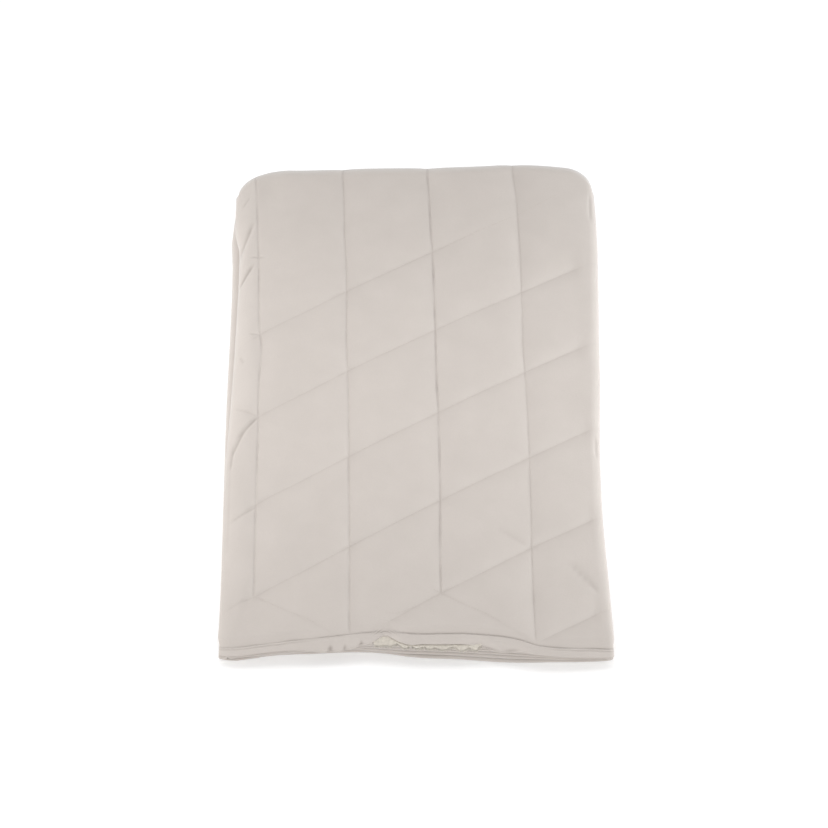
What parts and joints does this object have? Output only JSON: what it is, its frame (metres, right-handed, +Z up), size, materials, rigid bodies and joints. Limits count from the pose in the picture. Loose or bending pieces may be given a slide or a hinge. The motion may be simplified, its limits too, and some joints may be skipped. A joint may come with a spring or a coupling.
{
  "type": "folded quilted bedspread",
  "caption": "Pale stone bedspread quilted in triangles, with a cream fleece back, folded flat into a soft layered bundle that lies on a bed, shelf or table.",
  "frame": {"origin": "on the resting surface, under the middle of the folded bedspread", "axes": "+X to the right along the front hem, +Y from the front hem to the back fold, +Z up"},
  "size_m": [0.5722, 0.9088, 0.0822],
  "materials": {
    "velvet": "short velvet pile, soft and matt, pale warm stone",
    "fleece": "fluffy cream fleece"
  },
  "bodies": {
    "root": {"quilted_cover": "velvet", "fleece_back": "fleece"}
  },
  "joints": []
}
